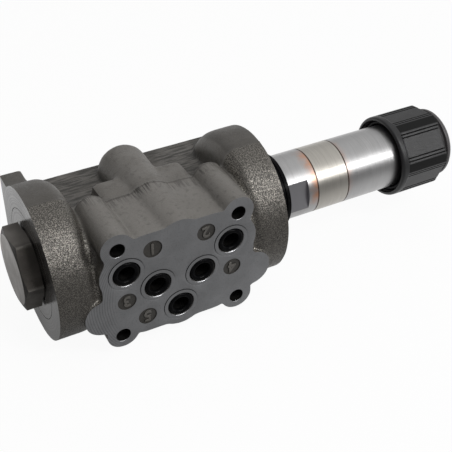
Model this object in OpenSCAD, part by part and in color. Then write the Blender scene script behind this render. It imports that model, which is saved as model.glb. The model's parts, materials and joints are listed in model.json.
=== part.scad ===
// Single solenoid directional control valve, nominal size 10, coil taken off.
// The port face lies in the plane Y = 0 and looks along -Y. The spool axis runs along X.
// The origin is the centre of the four mounting bolts, on the port face.

/* [Port face] */
// Distance between mounting bolts along the spool axis
bolt_pitch_x = 54; // [53:0.5:55]
// Distance between mounting bolts across the spool axis
bolt_pitch_z = 46; // [45:0.5:47]
// Diameter of the mounting bolt holes
bolt_hole_d = 6.6; // [6.2:0.1:7]
// Thickness of metal that the mounting bolts clamp
bolt_grip = 30; // [28:1:34]
// Outer diameter of the bolt bosses at the port face
bolt_boss_d = 14.2; // [13:0.1:15]
// Diameter of the spot face behind each bolt boss
bolt_spot_d = 13.6; // [12:0.2:13.8]
// Diameter of the port drillings
port_d = 8; // [6:0.25:9]
// Distance of ports A and B from the middle of the face along X
port_ab_x = 10.3; // [10:0.05:11]
// Height of ports A and B, measured from the middle of the face
port_ab_z = -1.6; // [-2:0.1:-1]
// Height of port P, measured from the middle of the face
port_p_z = -16.7; // [-17.5:0.1:-15.5]
// Distance of the two tank ports from the middle of the face along X
port_t_x = 23.8; // [23:0.1:24.5]
// Height of the two tank ports, measured from the middle of the face
port_t_z = 9.5; // [9:0.1:10]
// Diameter of the seal recess at each port
seal_recess_d = 11.8; // [11.4:0.1:12.6]
// Cord thickness of the port seals
seal_cord = 2.4; // [2:0.1:2.6]
// Height by which a port seal stands proud of the face
seal_proud = 0.3; // [0.1:0.05:0.4]
// Diameter of the faced ring around each port
port_land_d = 14.5; // [13.5:0.1:15]
// Diameter of the shallow round label recesses
label_d = 8.6; // [6:0.2:9]
// Depth of the label recesses
label_depth = 0.6; // [0.3:0.1:1]

/* [Body casting] */
// Height by which the cast outline sits above the machined centre line
cast_shift = 0.7; // [0:0.1:1]
// Length of the body between its machined end faces
body_len = 106; // [104:1:110]
// Distance of the spool axis from the port face
axis_y = 35; // [34.5:0.5:36]
// Outer diameter of the round end flanges
flange_d = 68; // [66:1:70]
// Length of the full diameter of an end flange
flange_rim = 9.5; // [7:0.5:11]
// Radius that rounds the inner edge of an end flange
flange_round = 9; // [6:0.5:10]
// Length of the full diameter of an end flange in front of its parting line
front_rim = 12; // [10:0.5:13]
// Radius that rounds the inner edge of an end flange in front of its parting line
front_round = 5.5; // [4:0.5:7]
// Radius of the saddle between an end flange and the bolt bosses
saddle_r = 25.7; // [24.5:0.1:26.5]
// Distance of the saddle's middle from the port face
saddle_y = 25; // [24:0.5:26]
// Depth of the valley between an end flange and the port pad, below the flange's full diameter
valley_depth = 1.5; // [0.5:0.5:3]
// Depth of the body from port face to machined back
body_depth = 68.4; // [67:0.2:70]
// Height of the slim waist behind the bolt bosses
waist_h = 32.2; // [30.5:0.2:34]
// Height of the centre block at the port face
block_h = 52; // [49:0.2:54]
// Height of the centre block where it ends behind the bolts
block_back_h = 48.6; // [46:0.2:50]
// Width of the centre block
block_w = 47; // [42:0.5:50]
// Depth of the centre block from the port face
block_depth = 44; // [40:1:48]
// Radius on the long edges of the centre block
block_round = 7; // [3:0.5:9]
// Width of the body behind the port face
chest_w = 69; // [68:0.5:71]
// Width of the body at the necks beside the bolt bosses
neck_w = 65; // [64:0.5:67]
// Height over which the body keeps its full width
chest_h = 16; // [12:1:20]
// Height of the body between the necks
neck_h = 38; // [34:1:42]
// Diameter of the round gallery ridges above and below the block
ridge_d = 23; // [20:0.5:24]
// Height of a ridge's crest above the spool axis
ridge_crest = 28; // [27:0.1:29]
// Depth at which the gallery ridges end
ridge_depth = 64; // [60:0.5:66]
// Radius on the end of a gallery ridge
ridge_round = 4; // [2:0.5:6]
// Length of the identification lug on the back
lug_len = 9.7; // [7:0.1:12]
// Height of the lug's top above the spool axis
lug_top = 24.25; // [22:0.25:26]
// Thickness of the lug, measured from the machined back
lug_depth = 8.8; // [7:0.2:10]
// Diameter of the bulges around the tank ports
tank_bulge_d = 23.4; // [21:0.2:24]
// Diameter of the side lobes where the pad runs over the flanges
lobe_d = 17.6; // [15:0.2:19]
// Distance of the side lobes from the middle
lobe_x = 34.4; // [32:0.2:36]
// Height of the side lobes' middle, measured from the middle of the face
lobe_z = -9.5; // [-10.5:0.5:-8]
// Depth of the pad's bulges and lobes
pad_depth = 8; // [6:0.5:10]
// Diameter of the turned ring on the end faces
end_ring_d = 49.5; // [46:0.5:52]

/* [Spool and bores] */
// Diameter of the spool bore
bore_d = 18; // [16:0.5:19]
// Radial running clearance of the spool
spool_gap = 0.03; // [0.02:0.01:0.06]
// Stroke of the spool from one stop to the other
stroke = 6; // [5:0.25:6]
// Distance of the work port chambers from the middle
work_x = 11.75; // [11.5:0.05:12]
// Distance of the tank chambers from the middle
tank_x = 23.9; // [23.5:0.1:24.5]
// Width of the chambers around the spool
chamber_w = 6.2; // [5.6:0.1:6.4]
// Diameter of the chambers around the spool
chamber_d = 25; // [22:0.5:26]
// Diameter of the gallery between the pressure port and the middle chamber
gallery_d = 5.6; // [5:0.2:6]
// Width of the two control lands
control_land = 9; // [8.6:0.1:9.4]
// Diameter of the spool stem between its lands
stem_d = 11; // [9:0.5:13]
// Gap between the spool's end and the pole core's nose
nose_gap = 0.3; // [0.2:0.05:0.5]
// Width and depth of the pressure balancing grooves in the guide lands
oil_groove = 0.6; // [0.4:0.1:0.8]
// Distance between the pressure balancing grooves, and of the first from the spool's end
oil_groove_pitch = 3; // [2.5:0.1:3.2]
// Width of the guide lands at the spool's ends
guide_land = 9; // [8.5:0.1:9.5]

/* [End plug and spring] */
// Diameter of the threaded holes in both end faces
thread_d = 27; // [26:0.5:28]
// Depth of the threaded holes
thread_depth = 12; // [11.5:0.25:12.5]
// Width of the end plug's hexagon across flats
hex_af = 32; // [31.5:0.5:34]
// Diameter of the round face that the chamfer leaves on the hexagon
hex_face_d = 30.6; // [29:0.1:31]
// Thickness of the hexagon
hex_t = 7.8; // [6:0.2:9]
// Angle of the chamfer on the hexagon
hex_chamfer = 20; // [15:1:30]
// Turn of the hexagon about the spool axis
hex_turn = 55; // [0:1:60]
// Height of the washer face under the hexagon
washer_face = 0.5; // [0.3:0.1:0.8]
// Outer diameter of the return spring
spring_d = 15.2; // [14:0.2:15.6]
// Wire thickness of the return spring
spring_wire = 1.6; // [1.4:0.1:1.6]
// Number of spring turns
spring_turns = 4.5; // [3.5:0.5:4.5]
// Thickness of the spring seat
seat_t = 1.5; // [1.2:0.1:1.8]
// Length of the spring seat's spigot inside the spring
seat_spigot = 2.5; // [1.5:0.1:3]
// Gap between the spigot and the spring's inside
spigot_gap = 0.6; // [0.3:0.1:1]

/* [Solenoid tube] */
// Outer diameter of the solenoid tube, which the coil slides over
tube_d = 31; // [30:0.1:32]
// Inner diameter of the tube around the armature
tube_bore = 26; // [25:0.1:26.6]
// Diameter of the core's seat against the body
core_seat_d = 36; // [34:0.5:40]
// Width of the core's seat
core_seat_w = 6; // [5:0.5:7]
// Distance from the body's end face to the coil side of the base seal
base_seal_end = 11.6; // [11:0.1:13]
// Radial thickness of the base seal
base_seal_wall = 1.95; // [1.5:0.05:3.4]
// Distance from the base seal to the far end of the wrench flats
flat_reach = 11; // [10:0.2:14]
// Distance from the body's end face to the first brazed joint
braze_x1 = 27.8; // [26:0.1:30]
// Distance from the body's end face to the second brazed joint
braze_x2 = 44.2; // [42:0.1:46]
// Width of a brazed joint
braze_w = 0.4; // [0.3:0.1:0.6]
// Distance between the two wrench flats
wrench_af = 27.4; // [26.5:0.1:28.5]
// Length of the wrench flats
wrench_len = 10.4; // [8:0.2:12]
// Turn of the wrench flats about the spool axis
wrench_turn = -11; // [-30:1:30]
// Distance from the body's end face to the end of the tube
tube_end = 94; // [93:0.5:95]
// Diameter of the thread at the tube's end
nut_thread_d = 30; // [29:0.1:30.5]
// Length of the thread at the tube's end
nut_thread_len = 16; // [14:0.5:17]
// Distance from the body's end face to the pole face
pole_x = 32.9; // [32:0.1:34]
// Diameter of the push pin
pin_d = 5; // [4:0.5:6]
// Radial running clearance of the pins
pin_gap = 0.05; // [0.03:0.01:0.08]
// Radial running clearance of the armature
armature_gap = 0.08; // [0.05:0.01:0.1]
// Length of the armature
armature_len = 42; // [38:0.5:43]
// Length of the armature's bearing band at each end
armature_band = 12; // [8:0.5:14]
// Thickness of the air gap washer
air_gap = 0.3; // [0.2:0.05:0.4]

/* [Manual override] */
// Diameter of the manual override pin
override_d = 6; // [5:0.5:7]
// Depth of the pin's end below the end plug's face
override_recess = 0.6; // [0.3:0.1:1]
// Length of the tube's end plug
end_plug_len = 11; // [10:0.5:12]

/* [Coil nut] */
// Outer diameter of the coil nut over its round corners
nut_d = 39.8; // [39:0.2:41]
// Distance from the body's end face to the nut's open end
nut_start = 72.7; // [72:0.1:74]
// Length of the smooth collar
nut_collar = 3.4; // [3:0.1:4.5]
// Width of the nut across its six grip flats
nut_af = 36.6; // [36:0.2:37.6]
// Length of the part with the grip flats
nut_grip = 22.9; // [20:0.1:24]
// Width of the neck behind the grip flats
nut_neck = 1.4; // [1:0.1:2.5]
// Thickness of the end disc
nut_disc = 4.4; // [3:0.1:5]
// Diameter of the end disc
nut_disc_d = 32; // [31:0.2:34]
// Diameter of the open collar, which the coil's spigot enters
nut_mouth_d = 36; // [34.6:0.1:36.4]
// Diameter of the hole in the end disc, for access to the manual override
nut_hole_d = 14; // [12:0.5:16]
// Turn of the grip flats about the spool axis
nut_turn = 50; // [0:1:60]
// Distance of a groove pair from the middle of its flat
groove_at = 5.9; // [5:0.1:6.2]
// Distance between the two grooves of a pair
groove_pair = 1.6; // [1.4:0.1:2]
// Width of a grip groove
groove_w = 0.7; // [0.5:0.1:0.9]
// Depth of a grip groove
groove_deep = 0.9; // [0.6:0.1:1.1]

/* [Hidden] */
$fn = 96;
eps = 0.01;
seat_gap = 0.05;
nut_seal_gap = 0.3;
shoulder_gap = 0.3;
half = body_len / 2;
hole_r = thread_d / 2;
bore_r = bore_d / 2;
spool_r = bore_r - spool_gap;
cavity_x = half - thread_depth;
spool_rest = stroke / 2;
core_nose = cavity_x + nose_gap;
spool_right = core_nose - nose_gap;
spool_left = 2 * spool_rest - spool_right;
base_seal_r = tube_d / 2 + seat_gap + base_seal_wall;
tube_r = tube_d / 2;
tube_in = tube_bore / 2;
pole_face = half + pole_x;
armature_x0 = pole_face + stroke + 2 * air_gap;
armature_x1 = armature_x0 + armature_len;
tube_x1 = half + tube_end;
plug_x0 = tube_x1 + 2 - end_plug_len;
plug_x1 = tube_x1 + 2;
nut_x0 = half + nut_start;
nut_grip_x = nut_x0 + nut_collar;
nut_neck_x = nut_grip_x + nut_grip;
nut_disc_x = nut_neck_x + nut_neck;
nut_x1 = nut_disc_x + nut_disc;
nut_thread_x = tube_x1 - nut_thread_len;
seal_r = seal_cord / 2;
ring_r = seal_recess_d / 2 - seal_r - seat_gap;
seal_y = seal_r - seal_proud;
recess_depth = seal_cord - seal_proud + seat_gap;
land_depth = 0.25;
port_depth = axis_y - chamber_d / 2 + 2;
t_port_depth = port_depth + 4;
gallery_back = 5;
p_port_depth = axis_y - 1;
ports = [
    [0, port_p_z, p_port_depth],
    [-port_ab_x, port_ab_z, port_depth],
    [port_ab_x, port_ab_z, port_depth],
    [-port_t_x, port_t_z, t_port_depth],
    [port_t_x, port_t_z, t_port_depth]
];
labels = [
    [-12, 18.4],
    [12, 18.4],
    [-24.4, -5],
    [24.4, -5],
    [-15.6, -16.8]
];
plug_nose = -cavity_x - 1.5;
pocket_floor = -half + 1;
pocket_r = bore_r + 0.5;
seat_r = bore_r - 0.3;
ring_groove = 2.2;

// Puts a shape's Z axis on the spool axis, starting at x.
module on_axis(x) {
    translate([x, axis_y, 0]) rotate([0, 90, 0]) children();
}

// A round stretch along the spool axis from x0 to x1.
module turn_x(x0, x1, r) {
    on_axis(x0) cylinder(h = x1 - x0, r = r);
}

// A sleeve along the spool axis.
module sleeve_x(x0, x1, r_out, r_in) {
    on_axis(x0) difference() {
        cylinder(h = x1 - x0, r = r_out);
        translate([0, 0, -1]) cylinder(h = x1 - x0 + 2, r = r_in);
    }
}

// A conical stretch along the spool axis.
module cone_x(x0, x1, r0, r1) {
    on_axis(x0) cylinder(h = x1 - x0, r1 = r0, r2 = r1);
}

// A ring of round cord, lying across the spool axis.
module cord_x(x, r_ring, r_cord) {
    on_axis(x) rotate_extrude() translate([r_ring, 0]) circle(r = r_cord, $fn = 32);
}

// A drilling or boss that runs into the body from the port face side.
module drill_y(x, z, y0, y1, r) {
    translate([x, y0, z]) rotate([-90, 0, 0]) cylinder(h = y1 - y0, r = r);
}

// A flat shape in X and Z, extruded from y0 to y1.
module slab_y(y0, y1) {
    translate([0, y1, 0]) rotate([90, 0, 0]) linear_extrude(y1 - y0) children();
}

// A flat shape in Y and Z, extruded from x0 to x1.
module slab_x(x0, x1) {
    translate([x0, 0, 0]) rotate([90, 0, 90]) linear_extrude(x1 - x0) children();
}

// Repeats a shape in the four corners of the bolt pattern.
module at_bolts() {
    for (sx = [-1, 1], sz = [-1, 1])
        translate([sx * bolt_pitch_x / 2, 0, sz * bolt_pitch_z / 2]) children();
}

// Keeps a shape and adds its mirror image on the other side of a plane.
module both_sides(v) {
    children();
    mirror(v) children();
}

// End flange with a rounded inner edge, on the right end.
module end_flange(rim, edge_round) {
    flange_r = flange_d / 2;
    in_x = rim + edge_round;
    on_axis(half - in_x) rotate_extrude() difference() {
        square([flange_r, in_x]);
        translate([flange_r - edge_round, -eps]) difference() {
            square([edge_round + 1, edge_round + eps]);
            translate([0, edge_round + eps]) circle(r = edge_round);
        }
    }
}

// Front half of an end flange, longer than the back half, and the saddle to the bolt bosses.
module flange_front() {
    saddle_x = bolt_pitch_x / 2;
    intersection() {
        union() {
            end_flange(front_rim, front_round);
            intersection() {
                translate([saddle_x, saddle_y, 0]) rotate([0, 90, 0])
                    cylinder(h = half - saddle_x, r = saddle_r);
                turn_x(saddle_x, half, flange_d / 2 - valley_depth);
            }
        }
        translate([0, 0, -flange_d]) cube([half, bolt_grip, 2 * flange_d]);
    }
}

// Block around the chambers, with draft towards the back and rounded edges.
module centre_block() {
    half_w = block_w / 2;
    intersection() {
        slab_x(-half_w, half_w) polygon([
            [0, -block_h / 2], [block_depth, -block_back_h / 2],
            [block_depth, block_back_h / 2], [0, block_h / 2]
        ]);
        slab_y(0, block_depth) union() {
            square([block_w - 2 * block_round, block_h], center = true);
            square([block_w, block_h - 2 * block_round], center = true);
            for (sx = [-1, 1], sz = [-1, 1])
                translate([sx * (half_w - block_round), sz * (block_h / 2 - block_round)])
                    circle(r = block_round);
        }
    }
}

// Gallery ridge above the block, with a rounded end.
module gallery_ridge() {
    r = ridge_d / 2;
    translate([0, 0, ridge_crest - r]) rotate([-90, 0, 0]) rotate_extrude() difference() {
        square([r, ridge_depth]);
        translate([r - ridge_round, ridge_depth - ridge_round]) difference() {
            square(ridge_round + 1);
            circle(r = ridge_round);
        }
    }
}

// Boss around a mounting bolt, tapered for casting.
module bolt_boss() {
    rotate([-90, 0, 0]) cylinder(h = bolt_grip, d1 = bolt_boss_d, d2 = bolt_boss_d - 0.8);
}

// Parts of the machined pad that stand out sideways: the tank port bulges and the side lobes.
module port_pad() {
    slab_y(0, pad_depth) for (sx = [-1, 1]) {
        translate([sx * port_t_x, port_t_z]) circle(d = tank_bulge_d);
        translate([sx * lobe_x, lobe_z]) circle(d = lobe_d);
    }
}

// Body between port face and spool axis, with necks beside the bolt bosses.
module chest() {
    slab_y(0, axis_y) for (sz = [-1, 1])
        polygon([
            [-chest_w / 2, 0], [-chest_w / 2, sz * chest_h / 2], [-neck_w / 2, sz * neck_h / 2],
            [neck_w / 2, sz * neck_h / 2], [chest_w / 2, sz * chest_h / 2], [chest_w / 2, 0]
        ]);
}

module valve_body() color([0.30, 0.29, 0.27]) difference() {
    union() {
        both_sides([1, 0, 0]) {
            end_flange(flange_rim, flange_round);
            flange_front();
        }
        slab_x(-half, half) translate([bolt_grip, -waist_h / 2]) square([body_depth - bolt_grip, waist_h]);
        chest();
        translate([0, 0, cast_shift]) {
            centre_block();
            both_sides([0, 0, 1]) gallery_ridge();
            at_bolts() bolt_boss();
        }
        port_pad();
        translate([-half, body_depth - lug_depth, 0]) cube([lug_len, lug_depth, lug_top]);
    }
    // machined back
    translate([-half - 1, body_depth, -flange_d]) cube([body_len + 2, flange_d, 2 * flange_d]);
    // mounting bolt holes and the spot faces behind them
    at_bolts() {
        rotate([-90, 0, 0]) translate([0, 0, -1]) cylinder(h = bolt_grip + 2, r = bolt_hole_d / 2);
        rotate([-90, 0, 0]) translate([0, 0, bolt_grip]) cylinder(h = body_depth, r = bolt_spot_d / 2);
    }
    // gallery from the pressure drilling up to the middle chamber
    translate([0, axis_y - gallery_back, port_p_z]) cylinder(h = -port_p_z, d = gallery_d);
    // ports with their seal recesses and faced rings
    for (p = ports) {
        drill_y(p[0], p[1], -1, p[2], port_d / 2);
        drill_y(p[0], p[1], -1, recess_depth, seal_recess_d / 2);
        drill_y(p[0], p[1], -1, land_depth, port_land_d / 2);
    }
    for (l = labels) drill_y(l[0], l[1], -1, label_depth, label_d / 2);
    // spool bore with its five chambers, and the threaded holes at both ends
    turn_x(-half, half, bore_r);
    for (cx = [-tank_x, -work_x, 0, work_x, tank_x])
        turn_x(cx - chamber_w / 2, cx + chamber_w / 2, chamber_d / 2);
    both_sides([1, 0, 0]) turn_x(cavity_x, half + 1, hole_r);
    // turned rings on the end faces
    both_sides([1, 0, 0]) sleeve_x(half - 0.4, half + 1, end_ring_d / 2, end_ring_d / 2 - 0.5);
}

module spool() color([0.72, 0.72, 0.74]) {
    difference() {
        union() {
            turn_x(spool_left, spool_right, stem_d / 2);
            turn_x(spool_left, spool_left + guide_land, spool_r);
            turn_x(spool_right - guide_land, spool_right, spool_r);
            for (s = [-1, 1])
                let (land_x = s * work_x + spool_rest - control_land / 2)
                    turn_x(land_x, land_x + control_land, spool_r);
        }
        // pressure balancing grooves in the guide lands
        for (i = [1, 2], gx = [spool_left + i * oil_groove_pitch, spool_right - i * oil_groove_pitch])
            sleeve_x(gx - oil_groove / 2, gx + oil_groove / 2, spool_r + 1, spool_r - oil_groove);
    }
}

module spring_seat() color([0.55, 0.56, 0.58]) {
    spigot_r = spring_d / 2 - spring_wire - spigot_gap;
    turn_x(spool_left - seat_t, spool_left, seat_r);
    turn_x(spool_left - seat_t - seat_spigot, spool_left - seat_t + eps, spigot_r);
}

// Centre line of the spring at a given share of its length.
function coil_point(t, r, l, turns) = [r * cos(360 * turns * t), r * sin(360 * turns * t), l * t];

module return_spring() color([0.62, 0.63, 0.66]) {
    wire_r = spring_wire / 2;
    mean_r = spring_d / 2 - wire_r;
    sides = 8;
    steps = spring_turns * 24;
    x0 = pocket_floor + wire_r + seat_gap;
    length = spool_left - seat_t - wire_r - seat_gap - x0;
    ring_points = [
        for (i = [0 : steps], k = [0 : sides - 1])
            let (
                t = i / steps,
                a = 360 * spring_turns * t,
                out = wire_r * cos(360 * k / sides),
                up = wire_r * sin(360 * k / sides),
                c = coil_point(t, mean_r, length, spring_turns)
            )
            [c[0] + out * cos(a), c[1] + out * sin(a), c[2] + up]
    ];
    sides_faces = [
        for (i = [0 : steps - 1], k = [0 : sides - 1])
            let (n = (k + 1) % sides, b = i * sides)
            [b + k, b + n, b + sides + n, b + sides + k]
    ];
    first_end = [for (k = [0 : sides - 1]) sides - 1 - k];
    last_end = [for (k = [0 : sides - 1]) steps * sides + k];
    on_axis(x0) polyhedron(ring_points, concat([first_end, last_end], sides_faces));
}

module end_plug() color([0.27, 0.26, 0.25]) difference() {
    hex_x1 = -half - washer_face;
    hex_x0 = hex_x1 - hex_t;
    hex_r = hex_af / sqrt(3);
    // the turned chamfer leaves a round outer face
    chamfer = (hex_r + 1 - hex_face_d / 2) * tan(hex_chamfer);
    union() {
        intersection() {
            on_axis(hex_x0) rotate([0, 0, 90 + hex_turn]) cylinder(h = hex_t, r = hex_r, $fn = 6);
            union() {
                cone_x(hex_x0, hex_x0 + chamfer, hex_face_d / 2, hex_r + 1);
                turn_x(hex_x0 + chamfer - eps, hex_x1, hex_r + 1);
            }
        }
        turn_x(hex_x1 - eps, -half, hex_af / 2 - 0.5);
        turn_x(-half - eps, plug_nose, hole_r - seat_gap);
    }
    turn_x(pocket_floor, plug_nose + 1, pocket_r);
    sleeve_x(-half + 1, -half + 1 + ring_groove, hole_r + 1, hole_r - 2);
}

module seal_in_end(side) {
    cord_x(side * (half - 1 - ring_groove / 2), hole_r - 1, 0.92);
}

module end_plug_seal() color([0.07, 0.07, 0.07]) seal_in_end(-1);

module core_seal() color([0.07, 0.07, 0.07]) seal_in_end(1);

module pole_core() color([0.70, 0.70, 0.71]) difference() {
    braze_at = half + braze_x1;
    flat_x1 = half + base_seal_end + flat_reach;
    union() {
        turn_x(core_nose, half, hole_r - seat_gap);
        turn_x(half, half + core_seat_w, core_seat_d / 2);
        turn_x(half + core_seat_w - eps, braze_at - braze_w / 2, tube_r);
        turn_x(braze_at - braze_w / 2 - eps, pole_face, tube_in - seat_gap);
    }
    sleeve_x(half - 1 - ring_groove, half - 1, hole_r + 1, hole_r - 2);
    on_axis(0) rotate([0, 0, wrench_turn]) both_sides([0, 1, 0])
        translate([-tube_d, wrench_af / 2, flat_x1 - wrench_len]) cube([2 * tube_d, tube_d, wrench_len]);
    turn_x(core_nose - 1, pole_face + 1, pin_d / 2 + pin_gap);
}

// Moulded rubber ring with a groove between its two lips.
module base_seal() color([0.06, 0.06, 0.06]) difference() {
    seal_x0 = half + core_seat_w;
    seal_x1 = half + base_seal_end;
    sleeve_x(seal_x0, seal_x1, base_seal_r, tube_r + seat_gap);
    sleeve_x(seal_x1 - 2.3, seal_x1 - 1.7, base_seal_r + 1, base_seal_r - 0.7);
}

module braze_ring(x) {
    sleeve_x(x - braze_w / 2, x + braze_w / 2, tube_r, tube_in);
}

module braze_ring_inner() color([0.55, 0.30, 0.18]) braze_ring(half + braze_x1);

module braze_ring_outer() color([0.55, 0.30, 0.18]) braze_ring(half + braze_x2);

module nonmagnetic_ring() color([0.74, 0.73, 0.70])
    sleeve_x(half + braze_x1 + braze_w / 2, half + braze_x2 - braze_w / 2, tube_r, tube_in);

module armature_tube() color([0.72, 0.72, 0.73]) difference() {
    union() {
        turn_x(half + braze_x2 + braze_w / 2, nut_thread_x, tube_r);
        turn_x(nut_thread_x - eps, tube_x1, nut_thread_d / 2);
    }
    turn_x(half + braze_x2 - 1, tube_x1 + 1, tube_in);
}

module armature() color([0.60, 0.60, 0.61]) difference() {
    turn_x(armature_x0, armature_x1, tube_in - armature_gap);
    // oil passages along the armature, and a relief groove
    for (a = [0, 180])
        on_axis(armature_x0 - 1) rotate([0, 0, a]) translate([tube_in - 5, 0, 0])
            cylinder(h = armature_len + 2, r = 1.6);
    sleeve_x(armature_x0 + armature_band, armature_x1 - armature_band, tube_in + 1, tube_in - 0.6);
}

module air_gap_washer() color([0.78, 0.62, 0.30])
    sleeve_x(armature_x0 - air_gap, armature_x0, tube_in - 1.5, pin_d / 2 + 0.6);

module push_pin() color([0.76, 0.76, 0.78])
    turn_x(spool_right, armature_x0, pin_d / 2);

module tube_end_plug() color([0.66, 0.66, 0.67]) difference() {
    union() {
        turn_x(plug_x0, tube_x1 + eps, tube_in - seat_gap);
        turn_x(tube_x1, plug_x1, nut_thread_d / 2 - 0.6);
    }
    turn_x(plug_x0 - 1, plug_x1 + 1, override_d / 2 + pin_gap);
    turn_x(plug_x0 + 3, plug_x0 + 3 + ring_groove, override_d / 2 + 2);
}

module override_pin() color([0.74, 0.74, 0.76]) difference() {
    turn_x(armature_x1, plug_x1 - override_recess, override_d / 2);
    sleeve_x(plug_x0 - 1.1, plug_x0 - 0.1, override_d, override_d / 2 - 0.6);
}

module override_seal() color([0.07, 0.07, 0.07])
    cord_x(plug_x0 + 3 + ring_groove / 2, override_d / 2 + 1 + seat_gap, 0.9);

module override_clip() color([0.5, 0.5, 0.52])
    sleeve_x(plug_x0 - 1.05, plug_x0 - 0.15, override_d / 2 + 2.5, override_d / 2 - 0.6 + seat_gap);

// Cutters for the two pairs of grooves along one grip flat, at angle a around the nut.
module flat_grooves(a) {
    on_axis(nut_grip_x) rotate([0, 0, a])
        for (pair = [-1, 1], s = [-0.5, 0.5])
            translate([nut_af / 2 - groove_deep, pair * groove_at + s * groove_pair - groove_w / 2, 0])
                cube([groove_deep + 2, groove_w, nut_grip + 1]);
}

// Round bar with six grip flats.
module grip_bar() {
    intersection() {
        turn_x(nut_grip_x - eps, nut_neck_x, nut_d / 2);
        on_axis(nut_grip_x - 1) rotate([0, 0, nut_turn + 30])
            cylinder(h = nut_grip + 2, r = nut_af / sqrt(3), $fn = 6);
    }
}

module coil_nut() color([0.11, 0.11, 0.12]) difference() {
    union() {
        turn_x(nut_x0, nut_grip_x, nut_d / 2);
        grip_bar();
        turn_x(nut_neck_x - eps, nut_disc_x + eps, nut_disc_d / 2 - 1.5);
        turn_x(nut_disc_x, nut_x1 - 1, nut_disc_d / 2);
        cone_x(nut_x1 - 1, nut_x1, nut_disc_d / 2, nut_disc_d / 2 - 1);
    }
    turn_x(nut_x0 - 1, nut_thread_x + shoulder_gap, nut_mouth_d / 2);
    turn_x(nut_x0, plug_x1 + 0.6, nut_thread_d / 2 + 0.1);
    turn_x(plug_x1, nut_x1 + 1, nut_hole_d / 2);
    for (i = [0 : 5]) flat_grooves(nut_turn + i * 60);
}

module nut_seal() color([0.06, 0.06, 0.06])
    cord_x(nut_thread_x - 2.3, (tube_r + nut_mouth_d / 2) / 2, (nut_mouth_d / 2 - tube_r) / 2 - nut_seal_gap);

module port_seal(i) {
    p = ports[i];
    translate([p[0], seal_y, p[1]]) rotate([-90, 0, 0])
        rotate_extrude() translate([ring_r, 0]) circle(r = seal_r, $fn = 32);
}

module port_seal_p() color([0.05, 0.05, 0.05]) port_seal(0);

module port_seal_a() color([0.05, 0.05, 0.05]) port_seal(1);

module port_seal_b() color([0.05, 0.05, 0.05]) port_seal(2);

module port_seal_t1() color([0.05, 0.05, 0.05]) port_seal(3);

module port_seal_t2() color([0.05, 0.05, 0.05]) port_seal(4);

valve_body();
spool();
spring_seat();
return_spring();
end_plug();
end_plug_seal();
pole_core();
core_seal();
base_seal();
braze_ring_inner();
nonmagnetic_ring();
braze_ring_outer();
armature_tube();
armature();
air_gap_washer();
push_pin();
tube_end_plug();
override_pin();
override_seal();
override_clip();
coil_nut();
nut_seal();
port_seal_p();
port_seal_a();
port_seal_b();
port_seal_t1();
port_seal_t2();
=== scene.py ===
import math

import bmesh
import bpy
import numpy as np
from mathutils import Matrix, Vector, noise
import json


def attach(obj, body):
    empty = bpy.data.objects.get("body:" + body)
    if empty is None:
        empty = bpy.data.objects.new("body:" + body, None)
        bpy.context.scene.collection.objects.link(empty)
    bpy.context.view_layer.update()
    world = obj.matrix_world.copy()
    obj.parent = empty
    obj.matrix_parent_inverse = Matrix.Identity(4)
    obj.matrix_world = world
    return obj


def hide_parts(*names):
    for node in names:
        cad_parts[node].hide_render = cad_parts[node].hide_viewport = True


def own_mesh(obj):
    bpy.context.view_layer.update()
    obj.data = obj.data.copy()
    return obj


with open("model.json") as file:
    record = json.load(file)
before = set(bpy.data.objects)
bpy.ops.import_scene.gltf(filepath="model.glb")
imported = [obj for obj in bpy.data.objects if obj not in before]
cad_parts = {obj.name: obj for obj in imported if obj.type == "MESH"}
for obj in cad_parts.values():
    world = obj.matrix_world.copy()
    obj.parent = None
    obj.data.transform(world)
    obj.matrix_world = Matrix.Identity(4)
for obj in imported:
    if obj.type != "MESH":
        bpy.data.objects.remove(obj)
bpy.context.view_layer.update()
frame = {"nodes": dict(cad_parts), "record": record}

MM = 0.001
PAST_END, FAR = 60.0, 90.0

# Every size and place below is in millimetres of the part's frame, unless its comment says otherwise

# Casting: the same sizes as the solids where they have the feature
AXIS_Y = 35.0
HALF = 53.0
BODY_DEPTH = 68.4
STOCK = 3.0
CAST_SHIFT = 0.7
FLANGE_R = 34.0
BACK_RIM = (9.5, 9.0)
FRONT_RIM = (12.0, 5.5)
FRONT_HALF = ((-PAST_END, PAST_END), (-5.0, 30.0), (-40.0, 40.0))
WAIST_HALF, WAIST_Y = 16.1, 30.0
CHEST_WIDE, CHEST_NARROW = (34.5, 8.0), (32.5, 19.0)
SADDLE_X, SADDLE_Y, SADDLE_R, SADDLE_REACH = 27.0, 25.0, 25.7, 32.5
BLOCK_W, BLOCK_H, BLOCK_BACK_H, BLOCK_R, BLOCK_DEPTH = 47.0, 52.2, 48.6, 7.0, 44.0
RIDGE_Z, RIDGE_R, RIDGE_ROUND, RIDGE_DEPTH = 16.5, 11.5, 4.0, 64.0
BOLT_X, BOLT_Z, BOLT_DEPTH = 27.0, 23.0, 30.0
BOLTS = [(sx * BOLT_X, sz * BOLT_Z) for sx in (-1, 1) for sz in (-1, 1)]
BOSS_R, BOSS_BACK_R = 7.1, 6.7
PAD_DEPTH = 8.0
BULGE_R = 11.7
LOBE_R, LOBE_X, LOBE_Z = 8.8, 34.2, -10.1
LUG_X, LUG_Y, LUG_Z = -43.3, 59.6, 24.25

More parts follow.
